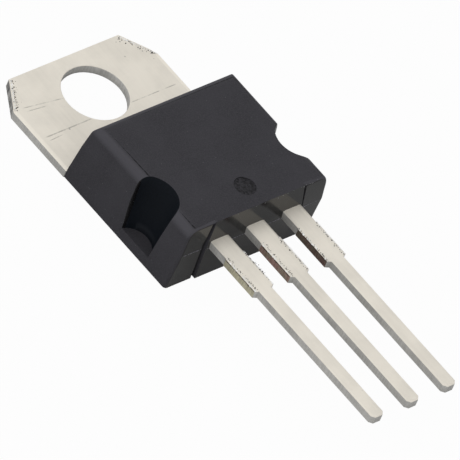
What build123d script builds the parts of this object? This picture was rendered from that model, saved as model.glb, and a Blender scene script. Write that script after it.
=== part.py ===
from build123d import *
import os
from math import atan, degrees

# Three-lead voltage regulator in a moulded power package, millimetres.
# Origin: on the axis of the mounting hole, in the plane of the metal back.
# +Z points out of the front face, +Y to the end of the tab, and the leads run towards -Y.

# ---- sheet metal frame -----------------------------------------------------------
SHEET = 0.52                # one stamped sheet makes the tab, the pad and the leads
TAB_HALF_WIDTH = 5.15
TAB_END_Y = 2.745           # from the hole's axis to the free end of the tab
TAB_CORNER_X = 1.245        # the two corners are cut off at a slant
TAB_CORNER_Y = 1.95
HOLE_RADIUS = 1.9
TAB_ROLL_WIDTH = 0.28       # the edge rolled over by the stamping punch
TAB_ROLL_DROP = 0.06
PAD_HALF_WIDTH = 4.3        # the part of the sheet that is held inside the moulding
PAD_END_Y = -10.6
PAD_NECK_Y = -3.70          # where the wide tab steps in to the pad
PAD_CORNER = 0.5

# ---- leads -----------------------------------------------------------------------
INPUT_LEAD_X = -2.54
OUTPUT_LEAD_X = 2.62        # stands a little further out than the input lead
LEAD_Z = 2.54               # underside of the leads
ROOT_HALF_WIDTH = 0.62      # plated length next to the body
CUT_HALF_WIDTH = 0.67       # length where the tie bar was cut off
NARROW_HALF_WIDTH = 0.43
TIP_HALF_WIDTH = 0.25
LEAD_START_Y = -12.15       # the straight length begins just inside the moulding
ROOT_END_Y = -13.72
CUT_START_Y = -13.77
SHOULDER_END_Y = -16.22
NARROW_START_Y = -16.34
TIP_START_Y = -25.72
TIP_END_Y = -25.92
LEAD_ROLL_WIDTH = 0.15
LEAD_ROLL_DROP = 0.05
POST_HALF_WIDTH = 1.0       # the outer leads widen inside the moulding, for the wires
POST_INNER_Y = -10.55
POST_OUTER_Y = -11.75
POST_BOND_Y = -11.15
POST_CORNER_RADIUS = 0.2
POST_OVERLAP = 0.1          # the neck of the post runs on into the post and the straight length
BEND_OVERLAP = 0.2          # the bent strip runs on into the pad
BEND_FOOT_Y = -10.75        # the middle lead climbs between these two places
BEND_HEAD_Y = -11.75
BEND_RADIUS = 0.45

# ---- moulded body ----------------------------------------------------------------
BODY_HEIGHT = 4.39
PARTING_Z = 2.6             # the two halves of the mould meet here
BACK_HALF_WIDTH = 5.10
PARTING_HALF_WIDTH = 5.12
FRONT_HALF_WIDTH = 4.94
TAB_WALL_BACK_Y = -3.59     # wall over the tab, at the back plane and at the front face
TAB_WALL_FRONT_Y = -4.12
LEAD_WALL_BACK_Y = -12.26   # wall above and below the leads, at its outer parts
LEAD_WALL_PARTING_Y = -12.37
LEAD_WALL_FRONT_Y = -12.25
PANEL_BACK_Y = -12.37       # the middle of that wall stands a little prouder
PANEL_PARTING_Y = -12.50
PANEL_FRONT_Y = -12.28
PANEL_BACK_HALF_WIDTH = 3.05
PANEL_PARTING_HALF_WIDTH = 3.40
PANEL_FRONT_HALF_WIDTH = 3.15
PANEL_OVERLAP = 0.6         # the panel runs on into the body
GROOVE_WIDTH = 0.20         # narrow groove along each side of the middle panel
GROOVE_DEPTH = 0.14
GROOVE_TOP_GAP = 0.12       # the groove stops just short of the front face
LEAD_END_FILLET = 0.20      # upright edges at the two ends of the body
TAB_END_FILLET = 0.10
UPRIGHT_MIN_RISE = 0.5      # only the upright edges of the blank are straight and rise this far
FRONT_FILLET = 0.75
SCALLOP_X = 5.37            # half-round notch in each side, cut down to a ledge
SCALLOP_Y = -9.41
SCALLOP_FRONT_RADIUS = 1.52
SCALLOP_LEDGE_RADIUS = 1.15
SCALLOP_LEDGE_Z = 0.70
EJECTOR_Y = -10.92          # shallow round mark left by the ejector pin
EJECTOR_RADIUS = 0.63
EJECTOR_DEPTH = 0.05

# ---- chip and bond wires ---------------------------------------------------------
DIE_Y = -7.4
DIE_LENGTH = 2.2            # along Y
DIE_WIDTH = 1.9
DIE_THICKNESS = 0.28
SOLDER_MARGIN = 0.15
SOLDER_THICKNESS = 0.05
CHIP_BOND_X = 0.65          # places of the bond pads on the chip and on the metal pad
CHIP_POWER_BOND_Y = -8.2
CHIP_SENSE_BOND_Y = -7.4
CHIP_GROUND_BOND_Y = -6.8
PAD_GROUND_BOND_Y = -4.8
INPUT_POST_BOND_X = 2.34    # places of the wires on the posts of the outer leads
OUTPUT_POST_BOND_X = 2.24
SENSE_POST_BOND_X = 2.84
WIRE_CREST_Z = 3.55
GROUND_WIRE_CREST_Z = 1.55
WIRE_BEND_RADIUS = 0.22
WIRE_LEAN = 0.3             # how far a wire leans over as it climbs
POWER_WIRE_RADIUS = 0.075
SIGNAL_WIRE_RADIUS = 0.05
FOOT_LENGTH = 0.34          # flattened wedge under each end of a wire
FOOT_HEIGHT = 0.06
FOOT_WIDTH_RATIO = 2.6      # width of the wedge over the wire's radius

SOLDER_LENGTH = DIE_LENGTH + 2 * SOLDER_MARGIN
SOLDER_WIDTH = DIE_WIDTH + 2 * SOLDER_MARGIN
SOLDER_TOP = SHEET + SOLDER_THICKNESS
DIE_TOP = SOLDER_TOP + DIE_THICKNESS
LEAD_TOP = LEAD_Z + SHEET
CUT_REACH = 20              # cutting shapes reach well past the body
SCALLOP_HEIGHT = BODY_HEIGHT - SCALLOP_LEDGE_Z
SCALLOP_DRAFT = degrees(atan((SCALLOP_FRONT_RADIUS - SCALLOP_LEDGE_RADIUS) / SCALLOP_HEIGHT))


def lead_outline(centre_x):
    """Plan of one straight lead: shoulder, cut tie-bar length, narrow length and chamfered tip."""
    right_side = [
        (ROOT_HALF_WIDTH, LEAD_START_Y),
        (ROOT_HALF_WIDTH, ROOT_END_Y),
        (CUT_HALF_WIDTH, CUT_START_Y),
        (CUT_HALF_WIDTH, SHOULDER_END_Y),
        (NARROW_HALF_WIDTH, NARROW_START_Y),
        (NARROW_HALF_WIDTH, TIP_START_Y),
        (TIP_HALF_WIDTH, TIP_END_Y),
    ]
    right = [(centre_x + half, y) for half, y in right_side]
    left = [(centre_x - half, y) for half, y in reversed(right_side)]
    with BuildSketch(Plane.XY.offset(LEAD_Z)) as outline:
        with BuildLine():
            Polyline(*right, *left, close=True)
        make_face()
    return outline.sketch


def straight_lead(centre_x):
    """The length of a lead that is straight, with the top edges that the punch rolled over."""
    outline = lead_outline(centre_x)
    with BuildPart() as lead:
        with BuildSketch(Plane.XY.offset(LEAD_Z)):
            add(outline)
        extrude(amount=SHEET)
        top_face = lead.faces().sort_by(Axis.Z)[-1]
        chamfer(top_face.edges(), length=LEAD_ROLL_WIDTH, length2=LEAD_ROLL_DROP, reference=top_face)
    return lead.part


def outer_lead(centre_x):
    """An outer lead, with the wide post that the moulding holds."""
    straight = straight_lead(centre_x)
    with BuildPart() as lead:
        with BuildSketch(Plane.XY.offset(LEAD_Z)):
            with Locations((centre_x, (POST_INNER_Y + POST_OUTER_Y) / 2)):
                RectangleRounded(2 * POST_HALF_WIDTH, POST_INNER_Y - POST_OUTER_Y, POST_CORNER_RADIUS)
            with Locations((centre_x, (POST_OUTER_Y + LEAD_START_Y) / 2)):
                Rectangle(2 * ROOT_HALF_WIDTH, POST_OUTER_Y - LEAD_START_Y + 2 * POST_OVERLAP)
        extrude(amount=SHEET)
        add(straight)
    return lead.part


def bond_wire(start, end, wire_radius, crest_z):
    """A wire from the chip to a lead or to the pad, with a flattened wedge at each end."""
    start_point = Vector(*start)
    end_point = Vector(*end)
    along = Vector(end_point.X - start_point.X, end_point.Y - start_point.Y, 0)
    span = along.length
    across = along.cross(Vector(0, 0, 1))
    plane = Plane(origin=(start_point.X, start_point.Y, 0), x_dir=along, z_dir=across)
    start_z = start_point.Z + wire_radius
    end_z = end_point.Z + wire_radius
    with BuildLine(plane) as path:
        FilletPolyline(
            (-FOOT_LENGTH / 2, start_z),
            (FOOT_LENGTH / 2, start_z),
            (FOOT_LENGTH / 2 + WIRE_LEAN, crest_z),
            (span - FOOT_LENGTH / 2 - WIRE_LEAN, crest_z),
            (span - FOOT_LENGTH / 2, end_z),
            (span + FOOT_LENGTH / 2, end_z),
            radius=WIRE_BEND_RADIUS,
        )
    with BuildPart() as wire:
        with BuildSketch(Plane(origin=path.line @ 0, z_dir=path.line % 0)):
            Circle(wire_radius)
        sweep(path=path.line)
        for foot, base in ((0, start_point.Z), (span, end_point.Z)):
            foot_origin = plane.from_local_coords(Vector(foot, base, 0))
            foot_plane = Plane(origin=foot_origin, x_dir=along, z_dir=(0, 0, 1))
            with BuildSketch(foot_plane):
                Rectangle(FOOT_LENGTH, FOOT_WIDTH_RATIO * wire_radius)
            extrude(amount=FOOT_HEIGHT)
    return wire.part


def tall_edges(edges, low_y, high_y):
    """The edges that rise along an upright corner of the body, between two places along it."""
    straight = edges.filter_by(GeomType.LINE)
    rising = straight.filter_by(lambda edge: edge.bounding_box().size.Z > UPRIGHT_MIN_RISE)
    return rising.filter_by(lambda edge: low_y < edge.center().Y < high_y)


# ---- tab, pad and middle lead: one stamped and bent sheet ------------------------
middle_straight = straight_lead(0)

with BuildPart() as tab_frame:
    with BuildSketch(Plane.YZ):
        with BuildLine():
            FilletPolyline(
                (PAD_END_Y + BEND_OVERLAP, SHEET / 2),
                (BEND_FOOT_Y, SHEET / 2),
                (BEND_HEAD_Y, LEAD_Z + SHEET / 2),
                (LEAD_START_Y, LEAD_Z + SHEET / 2),
                radius=BEND_RADIUS,
            )
        trace(line_width=SHEET)
    extrude(amount=ROOT_HALF_WIDTH, both=True)
    add(middle_straight)
    with BuildSketch(Plane.XY):
        with BuildLine():
            Polyline(
                (0, TAB_END_Y),
                (TAB_HALF_WIDTH - TAB_CORNER_X, TAB_END_Y),
                (TAB_HALF_WIDTH, TAB_END_Y - TAB_CORNER_Y),
                (TAB_HALF_WIDTH, PAD_NECK_Y),
                (PAD_HALF_WIDTH, PAD_NECK_Y),
                (PAD_HALF_WIDTH, PAD_END_Y + PAD_CORNER),
                (PAD_HALF_WIDTH - PAD_CORNER, PAD_END_Y),
                (0, PAD_END_Y),
            )
            mirror(about=Plane.YZ)
        make_face()
    extrude(amount=SHEET)
    with Locations((0, 0, SHEET)):
        Hole(radius=HOLE_RADIUS, depth=SHEET)
    tab_faces = tab_frame.faces().filter_by(lambda face: face.center().Y > PAD_END_Y)
    tab_top = tab_faces.filter_by(Axis.Z).sort_by(Axis.Z)[-1]
    tab_lengthwise = tab_top.edges().filter_by(Axis.Y)
    tab_sides = tab_lengthwise.filter_by(lambda edge: abs(edge.center().X) > PAD_HALF_WIDTH)
    chamfer(tab_sides, length=TAB_ROLL_WIDTH, length2=TAB_ROLL_DROP, reference=tab_top)
tab_frame.part.label = "tab_frame"

input_lead = outer_lead(INPUT_LEAD_X)
input_lead.label = "input_lead"
output_lead = outer_lead(OUTPUT_LEAD_X)
output_lead.label = "output_lead"

# ---- chip, solder and bond wires -------------------------------------------------
with BuildPart() as die_solder:
    with BuildSketch(Plane.XY.offset(SHEET)):
        with Locations((0, DIE_Y)):
            RectangleRounded(SOLDER_WIDTH, SOLDER_LENGTH, SOLDER_MARGIN)
    extrude(amount=SOLDER_THICKNESS)
die_solder.part.label = "die_solder"

with BuildPart() as die:
    with BuildSketch(Plane.XY.offset(SOLDER_TOP)):
        with Locations((0, DIE_Y)):
            Rectangle(DIE_WIDTH, DIE_LENGTH)
    extrude(amount=DIE_THICKNESS)
die.part.label = "die"

wires = {
    "input_wire": bond_wire(
        (-CHIP_BOND_X, CHIP_POWER_BOND_Y, DIE_TOP),
        (-INPUT_POST_BOND_X, POST_BOND_Y, LEAD_TOP),
        POWER_WIRE_RADIUS,
        WIRE_CREST_Z,
    ),
    "output_wire": bond_wire(
        (CHIP_BOND_X, CHIP_POWER_BOND_Y, DIE_TOP),
        (OUTPUT_POST_BOND_X, POST_BOND_Y, LEAD_TOP),
        POWER_WIRE_RADIUS,
        WIRE_CREST_Z,
    ),
    "output_sense_wire": bond_wire(
        (CHIP_BOND_X, CHIP_SENSE_BOND_Y, DIE_TOP),
        (SENSE_POST_BOND_X, POST_BOND_Y, LEAD_TOP),
        SIGNAL_WIRE_RADIUS,
        WIRE_CREST_Z,
    ),
    "ground_wire": bond_wire(
        (0, CHIP_GROUND_BOND_Y, DIE_TOP),
        (0, PAD_GROUND_BOND_Y, SHEET),
        SIGNAL_WIRE_RADIUS,
        GROUND_WIRE_CREST_Z,
    ),
}
for name, wire in wires.items():
    wire.label = name

inserts = (tab_frame.part, input_lead, output_lead, die_solder.part, die.part, *wires.values())

# ---- moulded body ----------------------------------------------------------------
with BuildPart() as end_panel:
    with BuildSketch(Plane.YZ):
        Polygon(
            (PANEL_BACK_Y, 0),
            (PANEL_PARTING_Y, PARTING_Z),
            (PANEL_FRONT_Y, BODY_HEIGHT),
            (PANEL_FRONT_Y + PANEL_OVERLAP, BODY_HEIGHT),
            (PANEL_BACK_Y + PANEL_OVERLAP, 0),
            align=None,
        )
    extrude(amount=PARTING_HALF_WIDTH, both=True)
    with BuildSketch(Plane.XZ):
        Polygon(
            (-PANEL_BACK_HALF_WIDTH, 0),
            (PANEL_BACK_HALF_WIDTH, 0),
            (PANEL_PARTING_HALF_WIDTH, PARTING_Z),
            (PANEL_FRONT_HALF_WIDTH, BODY_HEIGHT),
            (-PANEL_FRONT_HALF_WIDTH, BODY_HEIGHT),
            (-PANEL_PARTING_HALF_WIDTH, PARTING_Z),
            align=None,
        )
    extrude(amount=CUT_REACH, mode=Mode.INTERSECT)

with BuildPart() as end_grooves:
    for near_back, near_front in (
        ((PANEL_BACK_HALF_WIDTH, 0), (PANEL_PARTING_HALF_WIDTH, PARTING_Z)),
        ((PANEL_PARTING_HALF_WIDTH, PARTING_Z), (PANEL_FRONT_HALF_WIDTH, BODY_HEIGHT - GROOVE_TOP_GAP)),
    ):
        with BuildSketch(Plane.XZ.offset(-LEAD_WALL_BACK_Y - GROOVE_DEPTH)):
            Polygon(
                near_back,
                near_front,
                (near_front[0] + GROOVE_WIDTH, near_front[1]),
                (near_back[0] + GROOVE_WIDTH, near_back[1]),
                align=None,
            )
            mirror(about=Plane.YZ)
        extrude(amount=CUT_REACH)

with BuildPart() as moulded_body:
    with BuildSketch(Plane.YZ):
        Polygon(
            (TAB_WALL_BACK_Y, 0),
            (TAB_WALL_FRONT_Y, BODY_HEIGHT),
            (LEAD_WALL_FRONT_Y, BODY_HEIGHT),
            (LEAD_WALL_PARTING_Y, PARTING_Z),
            (LEAD_WALL_BACK_Y, 0),
            align=None,
        )
    extrude(amount=PARTING_HALF_WIDTH, both=True)
    with BuildSketch(Plane.XZ):
        Polygon(
            (-BACK_HALF_WIDTH, 0),
            (BACK_HALF_WIDTH, 0),
            (PARTING_HALF_WIDTH, PARTING_Z),
            (FRONT_HALF_WIDTH, BODY_HEIGHT),
            (-FRONT_HALF_WIDTH, BODY_HEIGHT),
            (-PARTING_HALF_WIDTH, PARTING_Z),
            align=None,
        )
    extrude(amount=CUT_REACH, mode=Mode.INTERSECT)
    front_edges = moulded_body.faces().sort_by(Axis.Z)[-1].edges().sort_by(Axis.Y)
    fillet(front_edges[1:], radius=FRONT_FILLET)
    fillet(tall_edges(moulded_body.edges(), LEAD_WALL_PARTING_Y, SCALLOP_Y), radius=LEAD_END_FILLET)
    fillet(tall_edges(moulded_body.edges(), SCALLOP_Y, TAB_END_Y), radius=TAB_END_FILLET)
    add(end_panel.part)
    with BuildSketch(Plane.XY.offset(SCALLOP_LEDGE_Z)):
        with Locations((-SCALLOP_X, SCALLOP_Y), (SCALLOP_X, SCALLOP_Y)):
            Circle(SCALLOP_LEDGE_RADIUS)
    extrude(amount=SCALLOP_HEIGHT, taper=-SCALLOP_DRAFT, mode=Mode.SUBTRACT)
    with Locations((0, EJECTOR_Y, BODY_HEIGHT)):
        Hole(radius=EJECTOR_RADIUS, depth=EJECTOR_DEPTH)
    add(end_grooves.part, mode=Mode.SUBTRACT)
    for insert in inserts:
        add(insert, mode=Mode.SUBTRACT)
moulded_body.part.label = "moulded_body"

os.makedirs("parts", exist_ok=True)
for piece in (*inserts, moulded_body.part):
    export_step(piece, f"parts/{piece.label}.step")
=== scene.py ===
import random
from math import cos, pi, radians, sin

import bmesh
import bpy
from bpy.props import FloatProperty, FloatVectorProperty, PointerProperty
from mathutils import Matrix, Quaternion, Vector
from mathutils.bvhtree import BVHTree


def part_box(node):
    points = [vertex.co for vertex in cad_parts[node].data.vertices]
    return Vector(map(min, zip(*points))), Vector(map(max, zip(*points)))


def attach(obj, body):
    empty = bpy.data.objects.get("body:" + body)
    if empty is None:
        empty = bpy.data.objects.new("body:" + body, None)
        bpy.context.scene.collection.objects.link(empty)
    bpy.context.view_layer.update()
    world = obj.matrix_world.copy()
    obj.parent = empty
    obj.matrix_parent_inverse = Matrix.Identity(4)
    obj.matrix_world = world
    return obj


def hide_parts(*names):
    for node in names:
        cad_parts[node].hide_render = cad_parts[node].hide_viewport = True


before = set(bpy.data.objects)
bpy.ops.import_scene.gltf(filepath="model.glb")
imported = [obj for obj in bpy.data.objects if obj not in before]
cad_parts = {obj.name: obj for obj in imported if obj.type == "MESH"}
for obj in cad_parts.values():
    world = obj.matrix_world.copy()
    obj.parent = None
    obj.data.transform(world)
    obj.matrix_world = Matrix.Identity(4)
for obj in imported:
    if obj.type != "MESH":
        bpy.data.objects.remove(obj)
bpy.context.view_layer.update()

bl_info = {
    "name": "Power Voltage Regulator",
    "version": (1, 0, 0),
    "blender": (4, 5, 0),
    "location": "3D View > Sidebar > Regulator",
    "description": "Finishes, burrs and mould marks of a three-lead voltage regulator on its metal tab",
    "category": "Object",
}

MM = 0.001
BODY = "root"
SEED = 7
UP = Vector((0, 0, 1))
SMOOTH_ANGLE = 35           # degrees; edges that turn more stay sharp

# Places that follow from the CAD nodes, in millimetres.
SHEET = (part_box("input_lead")[1].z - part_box("input_lead")[0].z) / MM
LEAD_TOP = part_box("input_lead")[1].z / MM
INPUT_LEAD_X = (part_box("input_lead")[0].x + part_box("input_lead")[1].x) / 2 / MM
OUTPUT_LEAD_X = (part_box("output_lead")[0].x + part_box("output_lead")[1].x) / 2 / MM
BODY_HALF_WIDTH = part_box("moulded_body")[1].x / MM
BODY_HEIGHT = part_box("moulded_body")[1].z / MM
LEAD_WALL_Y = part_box("moulded_body")[0].y / MM
TAB_HALF_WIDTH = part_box("tab_frame")[1].x / MM
TAB_END_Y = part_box("tab_frame")[1].y / MM
LEAD_CENTRES = (INPUT_LEAD_X, 0.0, OUTPUT_LEAD_X)

# Features of the stamped sheet and of the moulding, in millimetres.
CUT_START_Y = -13.74        # the tie bar was cut off between these two places
CUT_END_Y = -16.24
CUT_HALF_WIDTH = 0.67
ROOT_HALF_WIDTH = 0.62
HOLE_RADIUS = 1.9
TAB_CORNER_X = 1.245
TAB_CORNER_Y = 1.95
TAB_ROLL_WIDTH = 0.28
SCALLOP_X = 5.37
SCALLOP_Y = -9.41
SCALLOP_REACH = 1.54
EJECTOR_DEPTH = 0.05
PARTING_Z = 2.6
PANEL_HALF_WIDTH = 3.4
OUTER_WALL_Y = -12.37
PANEL_WALL_Y = -12.50
FLASH_END_X = 4.85
GROOVE_WIDTH = 0.2          # the flash stops on both sides of the groove beside the panel
LIP_DEPTH = 0.020           # how far the torn lips start below the top of a lead
CRUMB_LIFT = 0.002
CORNER_INSET = 0.09         # the crumbs keep this far inside the tab's corner

PLATED, SHEARED, TIE_CUT, CORNER_CUT = range(4)
MATT, POLISHED, SCALLOP, EJECTOR = range(4)


# ---- settings that a user would change -------------------------------------------
def colour_setting(name, description, default):
    return FloatVectorProperty(
        name=name, description=description, subtype="COLOR", size=3, min=0, max=1, default=default
    )


def length_setting(name, description, default):
    return FloatProperty(
        name=name, description=description, subtype="DISTANCE", unit="LENGTH",
        default=default, min=0, precision=6,
    )


class MetalSettings(bpy.types.PropertyGroup):
    tin: colour_setting("Tin", "Plating on the flat faces", (0.790, 0.745, 0.660))
    sheared: colour_setting("Sheared sides", "Plating on the sides that the punch cut", (0.66, 0.65, 0.62))
    copper: colour_setting("Bare copper", "Copper where the tie bars were cut off", (0.60, 0.37, 0.33))
    khaki: colour_setting("Tarnished copper", "Copper that has turned olive", (0.66, 0.62, 0.46))
    edge_break: length_setting("Edge break", "Width of the rounded edges of the sheet", 0.012 * MM)
    lip_width: length_setting("Torn lip", "How far the torn plating hangs over a cut side", 0.10 * MM)


class MouldingSettings(bpy.types.PropertyGroup):
    matt: colour_setting("Moulding", "Matt mould compound", (0.0400, 0.0390, 0.0445))
    polished: colour_setting("Smooth wall", "Smoother wall beside the leads", (0.0045, 0.0044, 0.0048))
    # The notch colour is far darker and bluer than the matt compound: painted shade in the half-round
    # notches.
    notch_shade: colour_setting("Notches", "Compound in the half-round notches", (0.0045, 0.0060, 0.0085))
    edge_break: length_setting("Edge break", "Width of the rounded edges of the moulding", 0.035 * MM)


class StageSettings(bpy.types.PropertyGroup):
    floor: colour_setting("Floor", "Pale floor under the object", (0.54, 0.54, 0.54))
    lamp: FloatProperty(name="Lamp", description="Strength of the overhead soft light", default=0.45, min=0)
    ambient: FloatProperty(name="Ambient", description="Light from all around", default=0.50, min=0)


# ---- nodes -----------------------------------------------------------------------
class Nodes:
    """Adds and links nodes in one node tree."""

    def __init__(self, tree):
        self.tree = tree

    def add(self, kind, inputs=None, **settings):
        """A new node. An input takes a value, or the socket that feeds it."""
        node = self.tree.nodes.new(kind)
        for key, value in settings.items():
            setattr(node, key, value)
        for key, value in (inputs or {}).items():
            if isinstance(value, bpy.types.NodeSocket):
                self.tree.links.new(value, node.inputs[key])
            else:
                node.inputs[key].default_value = value
        return node

    def math(self, operation, first, second=0.0):
        return self.add("ShaderNodeMath", {0: first, 1: second}, operation=operation).outputs[0]

    def ramp(self, value, low, high):
        """0 below low, 1 above high, smooth between. Low may be the greater."""
        limits = {"Value": value, "From Min": low, "From Max": high}
        return self.add("ShaderNodeMapRange", limits, interpolation_type="SMOOTHSTEP").outputs["Result"]

    def noise(self, vector, scale, detail=3.0, roughness=0.55):
        inputs = {"Vector": vector, "Scale": scale, "Detail": detail, "Roughness": roughness}
        return self.add("ShaderNodeTexNoise", inputs).outputs["Fac"]

    def mix(self, amount, first, second):
        """The first colour where amount is 0, the second where it is 1."""
        node = self.add("ShaderNodeMix", data_type="RGBA")
        for socket, value in ((node.inputs[0], amount), (node.inputs[6], first), (node.inputs[7], second)):
            if isinstance(value, bpy.types.NodeSocket):
                self.tree.links.new(value, socket)
            else:
                socket.default_value = value
        return node.outputs[2]

    def millimetres(self):
        """Object coordinates in millimetres."""
        place = self.add("ShaderNodeTexCoord").outputs["Object"]
        return self.add("ShaderNodeVectorMath", {0: place, "Scale": 1 / MM}, operation="SCALE").outputs[0]

    def axes(self, vector):
        return self.add("ShaderNodeSeparateXYZ", {0: vector}).outputs


def new_group(name, inputs, outputs):
    """An empty shader node group with named sockets."""
    tree = bpy.data.node_groups.new(name, "ShaderNodeTree")
    for socket_name, (kind, default) in inputs.items():
        socket_type = f"NodeSocket{kind}"
        socket = tree.interface.new_socket(name=socket_name, in_out="INPUT", socket_type=socket_type)
        socket.default_value = default
    for socket_name in outputs:
        tree.interface.new_socket(name=socket_name, in_out="OUTPUT", socket_type="NodeSocketFloat")
    nodes = Nodes(tree)
    return nodes, nodes.add("NodeGroupInput").outputs, nodes.add("NodeGroupOutput").inputs


def grain_group():
    """Fine and broad mottling. Height is for a bump, Broad for slow changes of tone."""
    nodes, given, put = new_group(
        "Grain",
        {"Vector": ("Vector", (0, 0, 0)), "Fine Scale": ("Float", 10.0), "Broad Scale": ("Float", 0.6)},
        ("Height", "Broad"),
    )
    fine = nodes.noise(given["Vector"], given["Fine Scale"], detail=4.0, roughness=0.65)
    broad = nodes.noise(given["Vector"], given["Broad Scale"], detail=4.0)
    nodes.tree.links.new(fine, put["Height"])
    nodes.tree.links.new(nodes.ramp(broad, 0.3, 0.7), put["Broad"])


def streaks_group():
    """Noise drawn out by a stretched scale, as left by a punch or by rolling."""
    nodes, given, put = new_group(
        "Streaks",
        {"Vector": ("Vector", (0, 0, 0)), "Stretch": ("Vector", (1, 1, 1)), "Contrast": ("Float", 0.2)},
        ("Value",),
    )
    factors = {0: given["Vector"], 1: given["Stretch"]}
    stretched = nodes.add("ShaderNodeVectorMath", factors, operation="MULTIPLY")
    lines = nodes.noise(stretched.outputs[0], 1.0, detail=5.0, roughness=0.6)
    low = nodes.math("SUBTRACT", 0.5, given["Contrast"])
    high = nodes.math("ADD", 0.5, given["Contrast"])
    nodes.tree.links.new(nodes.ramp(lines, low, high), put["Value"])


def specks_group():
    """Sparse small dots: 1 in a dot, 0 outside."""
    nodes, given, put = new_group(
        "Specks",
        {
            "Vector": ("Vector", (0, 0, 0)),
            "Scale": ("Float", 3.0),
            "Size": ("Float", 0.1),
            "Share": ("Float", 0.3),
        },
        ("Mask",),
    )
    cells = nodes.add("ShaderNodeTexVoronoi", {"Vector": given["Vector"], "Scale": given["Scale"]})
    chosen = nodes.math("LESS_THAN", nodes.axes(cells.outputs["Color"])[0], given["Share"])
    half = nodes.math("MULTIPLY", given["Size"], 0.5)
    dots = nodes.ramp(cells.outputs["Distance"], given["Size"], half)
    nodes.tree.links.new(nodes.math("MULTIPLY", chosen, dots), put["Mask"])


def line_group():
    """A drawn line along X, broken up by noise: 1 on the line, 0 away from it."""
    nodes, given, put = new_group(
        "Drawn Line",
        {
            "Vector": ("Vector", (0, 0, 0)),
            "Start": ("Float", -1.0),
            "End": ("Float", 1.0),
            "Place": ("Float", 0.0),
            "Slope": ("Float", 0.0),
            "Width": ("Float", 0.05),
        },
        ("Mask",),
    )
    x, y, _ = nodes.axes(given["Vector"])
    sloping = nodes.math("MULTIPLY", nodes.math("SUBTRACT", x, given["Start"]), given["Slope"])
    away = nodes.math("SUBTRACT", nodes.math("SUBTRACT", y, given["Place"]), sloping)
    across = nodes.ramp(nodes.math("ABSOLUTE", away), given["Width"], 0.0)
    after_start = nodes.ramp(x, given["Start"], nodes.math("ADD", given["Start"], 0.3))
    before_end = nodes.ramp(x, given["End"], nodes.math("SUBTRACT", given["End"], 0.3))
    broken = nodes.ramp(nodes.noise(given["Vector"], 2.5), 0.3, 0.6)
    line = nodes.math("MULTIPLY", nodes.math("MULTIPLY", after_start, before_end), across)
    nodes.tree.links.new(nodes.math("MULTIPLY", line, broken), put["Mask"])


def use_group(nodes, name, **inputs):
    """Places a group; an underscore in an input's keyword stands for a space."""
    node = nodes.add("ShaderNodeGroup", node_tree=bpy.data.node_groups[name])
    for key, value in inputs.items():
        socket = node.inputs[key.replace("_", " ")]
        if isinstance(value, bpy.types.NodeSocket):
            nodes.tree.links.new(value, socket)
        else:
            socket.default_value = value
    return node.outputs


def make_groups():
    grain_group()
    streaks_group()
    specks_group()
    line_group()


# ---- materials -------------------------------------------------------------------
def opaque(colour, factor=1.0):
    return (colour[0] * factor, colour[1] * factor, colour[2] * factor, 1.0)


def new_material(name):
    material = bpy.data.materials.new(name)
    material.use_nodes = True
    material.node_tree.nodes.clear()
    return material, Nodes(material.node_tree)


def surface(nodes, colour, roughness, bump, bump_depth, **fixed):
    """Principled surface with the given colour, roughness and height, and plain values for the rest."""
    relief = nodes.add("ShaderNodeBump", {"Height": bump, "Distance": bump_depth, "Strength": 1.0})
    inputs = {"Base Color": colour, "Roughness": roughness, "Normal": relief.outputs[0]}
    inputs.update({key.replace("_", " "): value for key, value in fixed.items()})
    shader = nodes.add("ShaderNodeBsdfPrincipled", inputs)
    nodes.add("ShaderNodeOutputMaterial", {"Surface": shader.outputs[0]})


def moulding_material(name, colour, gloss, depth, fillet_highlight=0.0, **fixed):
    """Filled black epoxy: mottled, grained, dotted with pale filler, and paler on its rounded edges, a
    painted highlight.
    """
    material, nodes = new_material(name)
    place = nodes.millimetres()
    grain = use_group(nodes, "Grain", Vector=place, Fine_Scale=16.0, Broad_Scale=0.45)
    filler = use_group(nodes, "Specks", Vector=place, Scale=4.5, Size=0.10, Share=0.10)["Mask"]
    tone = nodes.mix(grain["Broad"], opaque(colour, 0.90), opaque(colour, 1.12))
    grained = nodes.mix(nodes.ramp(grain["Height"], 0.35, 0.75), tone, opaque(colour, 1.45))
    # Painted highlight: the rounded edges, whose faces turn partly upward, are painted paler.
    facing_up = nodes.axes(nodes.add("ShaderNodeTexCoord").outputs["Normal"])[2]
    rounded = nodes.math("MULTIPLY", nodes.ramp(facing_up, 0.15, 0.60), nodes.ramp(facing_up, 0.995, 0.80))
    highlighted = nodes.mix(nodes.math("MULTIPLY", rounded, fillet_highlight), grained, opaque(colour, 2.2))
    dotted = nodes.mix(nodes.math("MULTIPLY", filler, 0.5), highlighted, (0.22, 0.22, 0.23, 1))
    roughness = nodes.math("ADD", gloss, nodes.math("MULTIPLY", grain["Height"], 0.12))
    surface(nodes, dotted, roughness, grain["Height"], depth, **fixed)
    return material


def ejector_material(colour):
    """The rough floor of the ejector mark."""
    material, nodes = new_material("Ejector mark")
    place = nodes.millimetres()
    grain = use_group(nodes, "Grain", Vector=place, Fine_Scale=7.0, Broad_Scale=2.2)
    tone = nodes.mix(nodes.ramp(grain["Height"], 0.35, 0.65), opaque(colour, 0.18), opaque(colour, 0.85))
    surface(nodes, tone, 0.75, grain["Height"], 0.05 * MM, Specular_IOR_Level=0.2)
    return material


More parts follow.
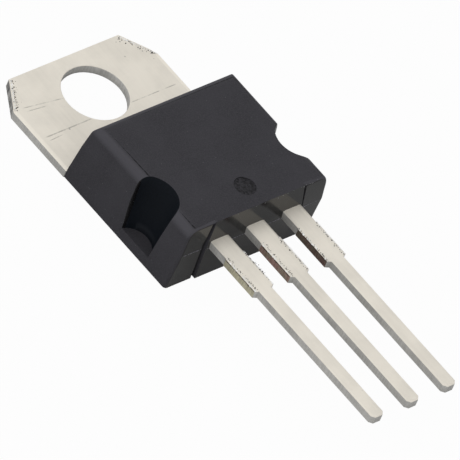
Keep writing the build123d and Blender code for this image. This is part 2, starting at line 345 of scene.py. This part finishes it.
def tin_material(metal):
    """Tin plating on the flat faces, with the lines that the tools drew across the front of the tab, and a
    painted highlight along the tab's rolled sides.
    """
    material, nodes = new_material("Tin plating")
    place = nodes.millimetres()
    grain = use_group(nodes, "Grain", Vector=place, Fine_Scale=9.0, Broad_Scale=0.5)
    rolled = use_group(nodes, "Streaks", Vector=place, Stretch=(5.0, 0.35, 5.0), Contrast=0.25)["Value"]
    pits = use_group(nodes, "Specks", Vector=place, Scale=1.3, Size=0.09, Share=0.25)["Mask"]
    drawn = 0.0
    for start, end, line_y, slope, width in (
        (-4.75, -1.35, -1.38, 0.0, 0.06),
        (1.30, 4.70, -1.37, 0.0, 0.045),
        (-4.60, -1.85, 0.80, -0.14, 0.045),
        (-4.55, -3.10, 0.52, -0.10, 0.04),
        (-4.70, -3.60, -1.66, 0.05, 0.04),
    ):
        line = use_group(
            nodes, "Drawn Line", Vector=place, Start=start, End=end, Place=line_y, Slope=slope, Width=width
        )
        drawn = nodes.math("MAXIMUM", line["Mask"], drawn)
    x, _, z = nodes.axes(place)
    drawn = nodes.math("MULTIPLY", drawn, nodes.ramp(z, 0.6 * SHEET, 0.9 * SHEET))
    across = nodes.math("ABSOLUTE", x)
    # Painted highlight: a band along the tab's rolled sides is painted lighter than the tin.
    edge = nodes.ramp(across, TAB_HALF_WIDTH - TAB_ROLL_WIDTH, TAB_HALF_WIDTH - 0.6 * TAB_ROLL_WIDTH)
    tone = nodes.mix(grain["Broad"], opaque(metal.tin, 0.93), opaque(metal.tin, 1.05))
    brushed = nodes.mix(nodes.math("MULTIPLY", rolled, 0.30), tone, opaque(metal.tin, 1.12))
    edge_highlight = nodes.mix(nodes.math("MULTIPLY", edge, 0.8), brushed, opaque(metal.tin, 1.16))
    marked = nodes.mix(nodes.math("MULTIPLY", drawn, 0.75), edge_highlight, opaque(metal.tin, 0.35))
    pitted = nodes.mix(nodes.math("MULTIPLY", pits, 0.6), marked, opaque(metal.tin, 0.30))
    roughness = nodes.math("ADD", 0.36, nodes.math("MULTIPLY", grain["Height"], 0.20))
    height = nodes.math("SUBTRACT", grain["Height"], nodes.math("MULTIPLY", drawn, 2.0))
    surface(nodes, pitted, roughness, height, 0.0035 * MM, Metallic=0.35)
    return material


def sheared_material(metal):
    """The sides of the sheet, streaked from top to bottom by the punch."""
    material, nodes = new_material("Sheared side")
    place = nodes.millimetres()
    grain = use_group(nodes, "Grain", Vector=place, Fine_Scale=12.0, Broad_Scale=0.9)
    tears = use_group(nodes, "Streaks", Vector=place, Stretch=(9.0, 9.0, 1.2), Contrast=0.18)["Value"]
    tone = nodes.mix(grain["Broad"], opaque(metal.sheared, 0.88), opaque(metal.sheared, 1.10))
    torn = nodes.mix(nodes.math("MULTIPLY", tears, 0.35), tone, opaque(metal.sheared, 0.60))
    height = nodes.math("ADD", grain["Height"], tears)
    surface(nodes, torn, nodes.ramp(tears, -1.2, 2.2), height, 0.006 * MM, Metallic=0.6)
    return material


def tie_cut_material(name, base, tint, metal):
    """Bare copper on a side where the tie bar was cut off, with painted shade in a ragged band under the
    plating's torn edge.
    """
    material, nodes = new_material(name)
    place = nodes.millimetres()
    grain = use_group(nodes, "Grain", Vector=place, Fine_Scale=10.0, Broad_Scale=1.1)
    tears = use_group(nodes, "Streaks", Vector=place, Stretch=(8.0, 8.0, 1.0), Contrast=0.2)["Value"]
    tone = nodes.mix(grain["Broad"], opaque(base), opaque(tint))
    torn = nodes.mix(nodes.math("MULTIPLY", tears, 0.5), tone, opaque(base, 0.45))
    # Painted shade: a ragged band from the top of the lead down, under the torn lip, is painted dark.
    depth = nodes.math("SUBTRACT", LEAD_TOP, nodes.axes(place)[2])
    wander = nodes.math("MULTIPLY", nodes.noise(place, 5.0, detail=4.0), 0.22)
    ragged = nodes.math("SUBTRACT", depth, wander)
    shaded_under_lip = nodes.mix(nodes.ramp(ragged, 0.03, -0.04), torn, opaque(metal.copper, 0.10))
    height = nodes.math("ADD", grain["Height"], tears)
    surface(nodes, shaded_under_lip, nodes.ramp(tears, -1.0, 2.0), height, 0.012 * MM, Metallic=0.75)
    return material


def corner_cut_material(metal):
    """The slanted sides at the tab's corners, cut after plating: dark and streaky."""
    material, nodes = new_material("Corner cut")
    place = nodes.millimetres()
    grain = use_group(nodes, "Grain", Vector=place, Fine_Scale=9.0, Broad_Scale=1.4)
    tears = use_group(nodes, "Streaks", Vector=place, Stretch=(3.0, 3.0, 0.8), Contrast=0.14)["Value"]
    tone = nodes.mix(grain["Broad"], opaque(metal.sheared, 0.16), opaque(metal.sheared, 0.50))
    torn = nodes.mix(tears, tone, opaque(metal.sheared, 0.95))
    height = nodes.math("ADD", grain["Height"], tears)
    surface(nodes, torn, nodes.ramp(tears, -1.0, 2.4), height, 0.015 * MM, Metallic=0.8)
    return material


def plain_metal(name, colour, roughness, metallic=1.0):
    """Finish of the small pieces: crumbs, lips, flash and the parts inside."""
    material, nodes = new_material(name)
    grain = use_group(nodes, "Grain", Vector=nodes.millimetres(), Fine_Scale=14.0, Broad_Scale=2.0)
    tone = nodes.mix(grain["Broad"], opaque(colour, 0.80), opaque(colour, 1.10))
    softness = nodes.math("ADD", roughness, nodes.math("MULTIPLY", grain["Height"], 0.15))
    surface(nodes, tone, softness, grain["Height"], 0.003 * MM, Metallic=metallic)
    return material


# ---- mesh helpers ----------------------------------------------------------------
def merged_copy(node):
    """A CAD node's mesh with its loose triangles joined and its flat faces made whole."""
    mesh = bmesh.new()
    mesh.from_mesh(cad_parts[node].data)
    bmesh.ops.remove_doubles(mesh, verts=mesh.verts, dist=0.0002 * MM)
    bmesh.ops.dissolve_limit(
        mesh, angle_limit=radians(0.3), verts=mesh.verts, edges=mesh.edges, delimit={"NORMAL"}
    )
    mesh.normal_update()
    return mesh


def outer_sharp_edges(mesh, least_angle):
    """The convex edges that can be seen from outside and turn by more than least_angle."""
    shell = BVHTree.FromBMesh(mesh)
    found = []
    for edge in mesh.edges:
        if not edge.is_manifold or not edge.is_convex or edge.calc_face_angle() < least_angle:
            continue
        outward = (edge.link_faces[0].normal + edge.link_faces[1].normal).normalized()
        middle = (edge.verts[0].co + edge.verts[1].co) / 2
        if shell.ray_cast(middle + outward * 0.02 * MM, outward)[0] is None:
            found.append(edge)
    return found


def break_edges(mesh, edges, width, segments=2):
    bmesh.ops.bevel(
        mesh, geom=edges, offset=width, offset_type="OFFSET", segments=segments,
        profile=0.5, affect="EDGES", clamp_overlap=True, material=-1,
    )


def finish_piece(mesh, name, materials, replaced=None):
    """Turns a bmesh into a finished piece that rides on the body."""
    data = bpy.data.meshes.new(name)
    mesh.normal_update()
    mesh.to_mesh(data)
    mesh.free()
    for material in materials:
        data.materials.append(material)
    data.shade_smooth()
    data.set_sharp_from_angle(angle=radians(SMOOTH_ANGLE))
    piece = bpy.data.objects.new(name, data)
    bpy.context.scene.collection.objects.link(piece)
    piece.modifiers.new("Even shading", "WEIGHTED_NORMAL").keep_sharp = True
    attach(piece, BODY)
    if replaced:
        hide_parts(replaced)
    return piece


def ragged_strip(mesh, start, end, across, thickness, rng, step=0.045 * MM, jag=0.5):
    """A thin strip with one straight edge from start to end and one torn edge, across away from it."""
    start, end, across = Vector(start), Vector(end), Vector(across)
    along = end - start
    count = max(2, round(along.length / step))
    grid = bmesh.ops.create_grid(mesh, x_segments=count, y_segments=1, size=0.5)["verts"]
    for vert in grid:
        share, side = vert.co.x + 0.5, vert.co.y + 0.5
        torn = side * (1 - jag + jag * rng.uniform(-0.6, 1.0))
        vert.co = start + along * share + across * torn
    faces = list(dict.fromkeys(face for vert in grid for face in vert.link_faces))
    bmesh.ops.solidify(mesh, geom=faces, thickness=thickness)


def crumb(mesh, centre, size, flat_axis, rng):
    """A small ragged grain lying on a surface that faces flat_axis."""
    turn = Quaternion(flat_axis, rng.uniform(0, 2 * pi))
    lie = UP.rotation_difference(flat_axis)
    scale = Vector((rng.uniform(0.7, 1.5), rng.uniform(0.6, 1.0), 0.35)) * size
    placed = Matrix.LocRotScale(centre, turn @ lie, scale)
    ball = bmesh.ops.create_icosphere(mesh, subdivisions=1, radius=1.0, matrix=placed)["verts"]
    for vert in ball:
        vert.co += (vert.co - Vector(centre)) * rng.uniform(-0.3, 0.25)


def mm_vector(x, y, z):
    return Vector((x, y, z)) * MM


# ---- operators -------------------------------------------------------------------
class REGULATOR_OT_moulding(bpy.types.Operator):
    """Moulded body: softens its crisp edges and gives each kind of wall its own finish"""

    bl_idname = "regulator.moulding"
    bl_label = "Moulded body"

    def execute(self, context):
        moulding = context.scene.regulator_moulding
        mesh = merged_copy("moulded_body")
        break_edges(mesh, outer_sharp_edges(mesh, radians(28)), moulding.edge_break)
        mesh.normal_update()
        for face in mesh.faces:
            face.material_index = self.finish_of(face)
        # The matt compound gets the painted highlight on its rounded edges.
        matt = moulding_material(
            "Mould compound", moulding.matt, 0.66, 0.006 * MM, fillet_highlight=0.65, Specular_IOR_Level=0.12
        )
        smooth = moulding_material(
            "Smooth compound", moulding.polished, 0.10, 0.0012 * MM, Specular_IOR_Level=0.60
        )
        # The notches get the darker colour: painted shade.
        notch = moulding_material(
            "Notch compound", moulding.notch_shade, 0.45, 0.004 * MM, Specular_IOR_Level=0.10
        )
        materials = [matt, smooth, notch, ejector_material(moulding.matt)]
        finish_piece(mesh, "body_moulding", materials, "moulded_body")
        return {"FINISHED"}

    def finish_of(self, face):
        centre = face.calc_center_median() / MM
        if face.normal.y < -0.9:
            return POLISHED
        if face.normal.z > 0.9 and abs(centre.z - BODY_HEIGHT + EJECTOR_DEPTH) < 0.01:
            return EJECTOR
        notch = Vector((abs(centre.x) - SCALLOP_X, centre.y - SCALLOP_Y)).length
        outer_wall = abs(face.normal.x) > 0.95 and abs(centre.x) > BODY_HALF_WIDTH - 0.3
        level = abs(face.normal.z) > 0.3
        if notch < SCALLOP_REACH and centre.z > SHEET and not outer_wall and not level:
            return SCALLOP
        return MATT


class REGULATOR_OT_sheet_metal(bpy.types.Operator):
    """Tab and leads: rounded edges, plated faces, sheared sides and bare cut copper"""

    bl_idname = "regulator.sheet_metal"
    bl_label = "Tab and leads"

    def execute(self, context):
        metal = context.scene.regulator_metal
        tin, sheared, corner = tin_material(metal), sheared_material(metal), corner_cut_material(metal)
        red = tie_cut_material("Cut copper", metal.copper, opaque(metal.khaki, 0.6), metal)
        olive = tie_cut_material("Tarnished cut copper", metal.khaki, opaque(metal.khaki, 1.3), metal)
        dark_copper, dark_khaki = opaque(metal.copper, 0.40), opaque(metal.khaki, 0.36)
        dull = tie_cut_material("Dull cut copper", dark_copper, dark_khaki, metal)
        for node, cut in (("tab_frame", red), ("input_lead", olive), ("output_lead", dull)):
            mesh = merged_copy(node)
            self.roll_hole_rim(mesh)
            break_edges(mesh, outer_sharp_edges(mesh, radians(30)), metal.edge_break)
            mesh.normal_update()
            for face in mesh.faces:
                face.material_index = self.finish_of(face)
            finish_piece(mesh, f"{node}_plated", [tin, sheared, cut, corner], node)
        return {"FINISHED"}

    def roll_hole_rim(self, mesh):
        """The punch rolled the hole's front edge over."""
        rim = [
            edge for edge in mesh.edges
            if all(abs(vert.co.z / MM - SHEET) < 0.001 for vert in edge.verts)
            and all(abs(vert.co.xy.length / MM - HOLE_RADIUS) < 0.01 for vert in edge.verts)
        ]
        if rim:
            break_edges(mesh, rim, 0.06 * MM, segments=3)
            mesh.normal_update()

    def finish_of(self, face):
        centre = face.calc_center_median() / MM
        normal = face.normal
        if abs(normal.z) > 0.35:
            return PLATED
        if CUT_END_Y < centre.y < CUT_START_Y and abs(normal.x) > 0.8:
            return TIE_CUT
        outside_hole = centre.xy.length > 2 * HOLE_RADIUS
        if outside_hole and centre.y > TAB_END_Y - TAB_CORNER_Y and abs(normal.x) > 0.4 and normal.y > 0.4:
            return CORNER_CUT
        return SHEARED


class REGULATOR_OT_burrs(bpy.types.Operator):
    """Torn lips along the cuts of the tie bars, and crumbs there and along the tab's slanted corners"""

    bl_idname = "regulator.burrs"
    bl_label = "Burrs"

    def execute(self, context):
        metal = context.scene.regulator_metal
        rng = random.Random(SEED)
        # The torn lips and the bright crumbs are near white, lighter than the tin they come from: painted
        # glints.
        bright = plain_metal("Bright burr", (0.95, 0.95, 0.93), 0.35, metallic=0.2)
        dark = plain_metal("Dark burr", (0.055, 0.045, 0.040), 0.45, metallic=0.6)
        lips, bright_crumbs, dark_crumbs = bmesh.new(), bmesh.new(), bmesh.new()
        for centre in LEAD_CENTRES:
            for side in (-1, 1):
                inset = CUT_HALF_WIDTH - metal.lip_width / MM
                start = mm_vector(centre + side * inset, CUT_START_Y, LEAD_TOP - LIP_DEPTH)
                end = mm_vector(centre + side * inset, CUT_END_Y, LEAD_TOP - LIP_DEPTH)
                outward = mm_vector(side * 0.14, 0, -0.030)
                ragged_strip(lips, start, end, outward, 0.012 * MM, rng, step=0.07 * MM, jag=0.8)
                # Dark crumbs on the cut side just under the torn lip stand in for the shade there: painted
                # shade.
                edge = mm_vector(side * (CUT_HALF_WIDTH - inset + 0.006), 0, -0.07)
                sideways = Vector((side, 0, 0))
                self.scatter(dark_crumbs, start + edge, end + edge, 16, (0.012, 0.028), rng, sideways)
                start.z = end.z = (LEAD_TOP + CRUMB_LIFT) * MM
                self.scatter(bright_crumbs, start, end, 30, (0.012, 0.028), rng, UP, spread=0.06)
                self.scatter(dark_crumbs, start, end, 40, (0.014, 0.038), rng, UP, spread=0.15)
        for side in (-1, 1):
            near_x = side * (TAB_HALF_WIDTH - TAB_CORNER_X - 0.05)
            far_x = side * (TAB_HALF_WIDTH - CORNER_INSET)
            start = mm_vector(near_x, TAB_END_Y - CORNER_INSET, SHEET + 2 * CRUMB_LIFT)
            end = mm_vector(far_x, TAB_END_Y - TAB_CORNER_Y + 0.02, SHEET + 2 * CRUMB_LIFT)
            self.scatter(dark_crumbs, start, end, 60, (0.012, 0.042), rng, UP, spread=0.30)
            self.scatter(bright_crumbs, start, end, 80, (0.018, 0.042), rng, UP, spread=0.08)
        finish_piece(lips, "torn_plating", [bright])
        finish_piece(bright_crumbs, "bright_burrs", [bright])
        finish_piece(dark_crumbs, "dark_burrs", [dark])
        return {"FINISHED"}

    def scatter(self, mesh, start, end, count, sizes, rng, facing, spread=0.02):
        """Crumbs along a line, thinning out from it on the side that the origin is on."""
        inward = (start - end).cross(UP).normalized()
        if inward.dot(-start) < 0:
            inward.negate()
        for _ in range(count):
            drift = abs(rng.gauss(0, spread * 0.5)) * MM
            centre = start.lerp(end, rng.random()) + inward * drift
            crumb(mesh, centre, rng.uniform(*sizes) * MM, facing, rng)


class REGULATOR_OT_mould_marks(bpy.types.Operator):
    """Flash on the parting line and pale crumbs along the edge above the leads"""

    bl_idname = "regulator.mould_marks"
    bl_label = "Mould marks"

    def execute(self, context):
        moulding = context.scene.regulator_moulding
        rng = random.Random(SEED + 1)
        flash_material = plain_metal("Mould flash", opaque(moulding.matt, 6.0)[:3], 0.5, metallic=0.0)
        pale_material = plain_metal("Pale crumbs", (0.30, 0.30, 0.31), 0.5, metallic=0.0)
        flash = bmesh.new()
        for near, far, wall in (
            (-FLASH_END_X, -PANEL_HALF_WIDTH - GROOVE_WIDTH, OUTER_WALL_Y),
            (-PANEL_HALF_WIDTH, INPUT_LEAD_X - ROOT_HALF_WIDTH, PANEL_WALL_Y),
            (INPUT_LEAD_X + ROOT_HALF_WIDTH, -ROOT_HALF_WIDTH, PANEL_WALL_Y),
            (ROOT_HALF_WIDTH, OUTPUT_LEAD_X - ROOT_HALF_WIDTH, PANEL_WALL_Y),
            (OUTPUT_LEAD_X + ROOT_HALF_WIDTH, PANEL_HALF_WIDTH, PANEL_WALL_Y),
            (PANEL_HALF_WIDTH + GROOVE_WIDTH, FLASH_END_X, OUTER_WALL_Y),
        ):
            start = mm_vector(near, wall + 0.01, PARTING_Z - 0.012)
            end = mm_vector(far, wall + 0.01, PARTING_Z - 0.012)
            ragged_strip(flash, start, end, mm_vector(0, -0.035, 0), 0.030 * MM, rng, jag=0.7)
        finish_piece(flash, "parting_flash", [flash_material])

        crumbs = bmesh.new()
        for _ in range(60):
            x = rng.triangular(-3.2, 4.6, 2.0)
            z = min(BODY_HEIGHT - abs(rng.gauss(0, 0.05)), BODY_HEIGHT - 0.02)
            y = LEAD_WALL_Y + 0.24 + rng.gauss(0, 0.03)
            crumb(crumbs, mm_vector(x, y, z), rng.uniform(0.010, 0.030) * MM, UP, rng)
        finish_piece(crumbs, "edge_crumbs", [pale_material])
        return {"FINISHED"}


class REGULATOR_OT_inner_pieces(bpy.types.Operator):
    """Chip, solder and bond wires, which the moulding hides"""

    bl_idname = "regulator.inner_pieces"
    bl_label = "Chip and wires"

    def execute(self, context):
        wire = plain_metal("Bond wire aluminium", (0.80, 0.80, 0.81), 0.25)
        finishes = {
            "die": plain_metal("Silicon", (0.12, 0.13, 0.16), 0.15, metallic=0.4),
            "die_solder": plain_metal("Solder", (0.52, 0.52, 0.54), 0.40),
        }
        for name in ("input_wire", "output_wire", "output_sense_wire", "ground_wire"):
            finishes[name] = wire
        for name, material in finishes.items():
            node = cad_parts[name]
            node.data.materials.clear()
            node.data.materials.append(material)
        return {"FINISHED"}


class REGULATOR_OT_stage(bpy.types.Operator):
    """Pale floor, soft light from above and from the left, and the camera"""

    bl_idname = "regulator.stage"
    bl_label = "Stage"

    def execute(self, context):
        stage = context.scene.regulator_stage
        self.make_floor(stage)
        self.make_world(context.scene, stage)
        self.make_lamps(context.scene, stage)
        self.make_camera(context.scene)
        context.scene.view_settings.view_transform = "Standard"
        return {"FINISHED"}

    def make_floor(self, stage):
        mesh = bmesh.new()
        bmesh.ops.create_circle(mesh, cap_ends=True, segments=64, radius=3.0)
        data = bpy.data.meshes.new("floor")
        mesh.to_mesh(data)
        mesh.free()
        floor = bpy.data.objects.new("floor", data)
        bpy.context.scene.collection.objects.link(floor)
        floor.location.z = -0.02 * MM
        material, nodes = new_material("Pale floor")
        matt = nodes.add("ShaderNodeBsdfDiffuse", {"Color": opaque(stage.floor)})
        white = nodes.add("ShaderNodeEmission", {"Color": (1, 1, 1, 1), "Strength": 1.0})
        path = nodes.add("ShaderNodeLightPath").outputs
        mirrored = nodes.math("MAXIMUM", path["Is Glossy Ray"], path["Is Transmission Ray"])
        whitened = nodes.math("MULTIPLY", path["Is Camera Ray"], 0.97)
        share = nodes.math("MAXIMUM", whitened, nodes.math("MULTIPLY", mirrored, 0.04))
        both = nodes.add("ShaderNodeMixShader", {0: share, 1: matt.outputs[0], 2: white.outputs[0]})
        nodes.add("ShaderNodeOutputMaterial", {"Surface": both.outputs[0]})
        data.materials.append(material)

    def seen_directly(self, nodes):
        """1 for rays from the camera, a reflection or glass, which show the plain background."""
        path = nodes.add("ShaderNodeLightPath").outputs
        mirrored = nodes.math("MAXIMUM", path["Is Glossy Ray"], path["Is Transmission Ray"])
        return nodes.math("MAXIMUM", path["Is Camera Ray"], mirrored)

    def make_world(self, scene, stage):
        world = bpy.data.worlds.new("Studio")
        world.use_nodes = True
        world.node_tree.nodes.clear()
        nodes = Nodes(world.node_tree)
        ambient = nodes.add("ShaderNodeBackground", {"Color": (1, 1, 1, 1), "Strength": stage.ambient})
        white = nodes.add("ShaderNodeBackground", {"Color": (1, 1, 1, 1), "Strength": 1.0})
        seen = self.seen_directly(nodes)
        shown = nodes.add("ShaderNodeMixShader", {0: seen, 1: ambient.outputs[0], 2: white.outputs[0]})
        nodes.add("ShaderNodeOutputWorld", {"Surface": shown.outputs[0]})
        scene.world = world

    def make_lamps(self, scene, stage):
        for name, place, size, share in (
            ("Overhead softbox", Vector((0.05, 0.10, 0.60)), 1.20, 1.0),
            ("Left softbox", Vector((-0.60, -0.12, 0.14)), 0.40, 0.60),
        ):
            lamp = bpy.data.lights.new(name, "AREA")
            lamp.shape = "DISK"
            lamp.size = size
            # Light that would lift a white card at the object by the wanted share.
            lamp.energy = stage.lamp * share * pi * place.length_squared * pi
            holder = bpy.data.objects.new(name, lamp)
            holder.matrix_world = Matrix.LocRotScale(place, (-place).to_track_quat("-Z", "Y"), None)
            holder.visible_glossy = False
            scene.collection.objects.link(holder)

    def make_camera(self, scene):
        """A long lens looking down at the object's left and lead-side walls, turned about its own axis."""
        azimuth, elevation, roll = radians(-57.16), radians(43.44), radians(24.19)
        distance = 1.0325
        aim = mm_vector(-0.0988, -11.2471, 1.2991)
        back = Vector((sin(azimuth) * cos(elevation), -cos(azimuth) * cos(elevation), sin(elevation)))
        lens = bpy.data.cameras.new("Camera")
        lens.sensor_width = 36
        lens.lens = 1546.5
        lens.clip_start, lens.clip_end = 0.05, 10
        camera = bpy.data.objects.new("Camera", lens)
        upright = (-back).to_track_quat("-Z", "Y")
        turned = upright @ Quaternion((0, 0, 1), roll)
        camera.matrix_world = Matrix.LocRotScale(aim + back * distance, turned, None)
        scene.collection.objects.link(camera)
        scene.camera = camera


class REGULATOR_PT_sidebar(bpy.types.Panel):
    """Lists the regulator's steps and settings"""

    bl_idname = "REGULATOR_PT_sidebar"
    bl_label = "Voltage Regulator"
    bl_space_type = "VIEW_3D"
    bl_region_type = "UI"
    bl_category = "Regulator"

    def draw(self, context):
        for operator in OPERATORS:
            self.layout.operator(operator.bl_idname)
        scene = context.scene
        for settings in (scene.regulator_metal, scene.regulator_moulding, scene.regulator_stage):
            box = self.layout.box()
            for name in settings.__annotations__:
                box.prop(settings, name)


OPERATORS = (
    REGULATOR_OT_moulding,
    REGULATOR_OT_sheet_metal,
    REGULATOR_OT_burrs,
    REGULATOR_OT_mould_marks,
    REGULATOR_OT_inner_pieces,
    REGULATOR_OT_stage,
)
CLASSES = (MetalSettings, MouldingSettings, StageSettings, *OPERATORS, REGULATOR_PT_sidebar)


def register():
    for item in CLASSES:
        bpy.utils.register_class(item)
    bpy.types.Scene.regulator_metal = PointerProperty(type=MetalSettings)
    bpy.types.Scene.regulator_moulding = PointerProperty(type=MouldingSettings)
    bpy.types.Scene.regulator_stage = PointerProperty(type=StageSettings)


def unregister():
    del bpy.types.Scene.regulator_stage
    del bpy.types.Scene.regulator_moulding
    del bpy.types.Scene.regulator_metal
    for item in reversed(CLASSES):
        bpy.utils.unregister_class(item)


def main():
    register()
    make_groups()
    bpy.ops.regulator.moulding()
    bpy.ops.regulator.sheet_metal()
    bpy.ops.regulator.burrs()
    bpy.ops.regulator.mould_marks()
    bpy.ops.regulator.inner_pieces()
    bpy.ops.regulator.stage()


if __name__ == "__main__":
    main()
